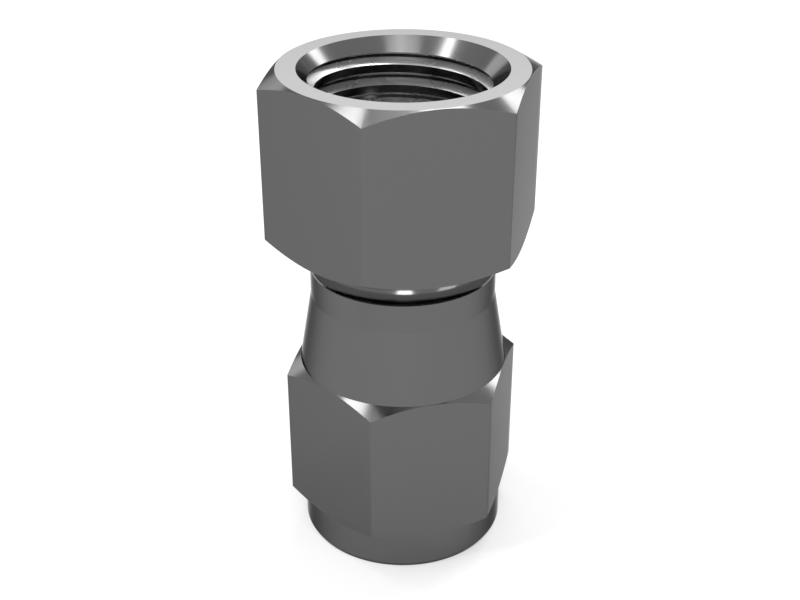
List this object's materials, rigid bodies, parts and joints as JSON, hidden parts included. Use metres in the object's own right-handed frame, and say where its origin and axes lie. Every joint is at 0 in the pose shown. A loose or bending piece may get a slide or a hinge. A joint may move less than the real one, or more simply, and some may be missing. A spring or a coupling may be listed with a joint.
{
  "type": "flare straight adapter",
  "caption": "Straight steel tube adapter: a hexagonal female flare swivel nut turns on a hexagonal body with a coved neck, cone and female pipe port.",
  "frame": {"origin": "centre of the pipe end's flat face, on the flow axis", "axes": "+Z along the flow axis from the pipe end to the swivel nut's mouth; both hexagons have a corner on +X and a flat on +Y"},
  "size_m": [0.0164, 0.0142, 0.0302],
  "materials": {
    "body_steel": "fine turned stainless steel",
    "nut_steel": "drawn hexagon bar and fine turned ends, stainless steel",
    "wire_steel": "hard drawn spring wire"
  },
  "bodies": {
    "body": {"adapter_body": "body_steel"},
    "nut": {"swivel_nut": "nut_steel", "retaining_wire": "wire_steel"}
  },
  "joints": [
    {"name": "nut_swivel", "type": "hinge", "parent": "body", "child": "nut", "pos_m": [0, 0, 0.025], "axis": [0, 0, 1], "continuous": true}
  ]
}
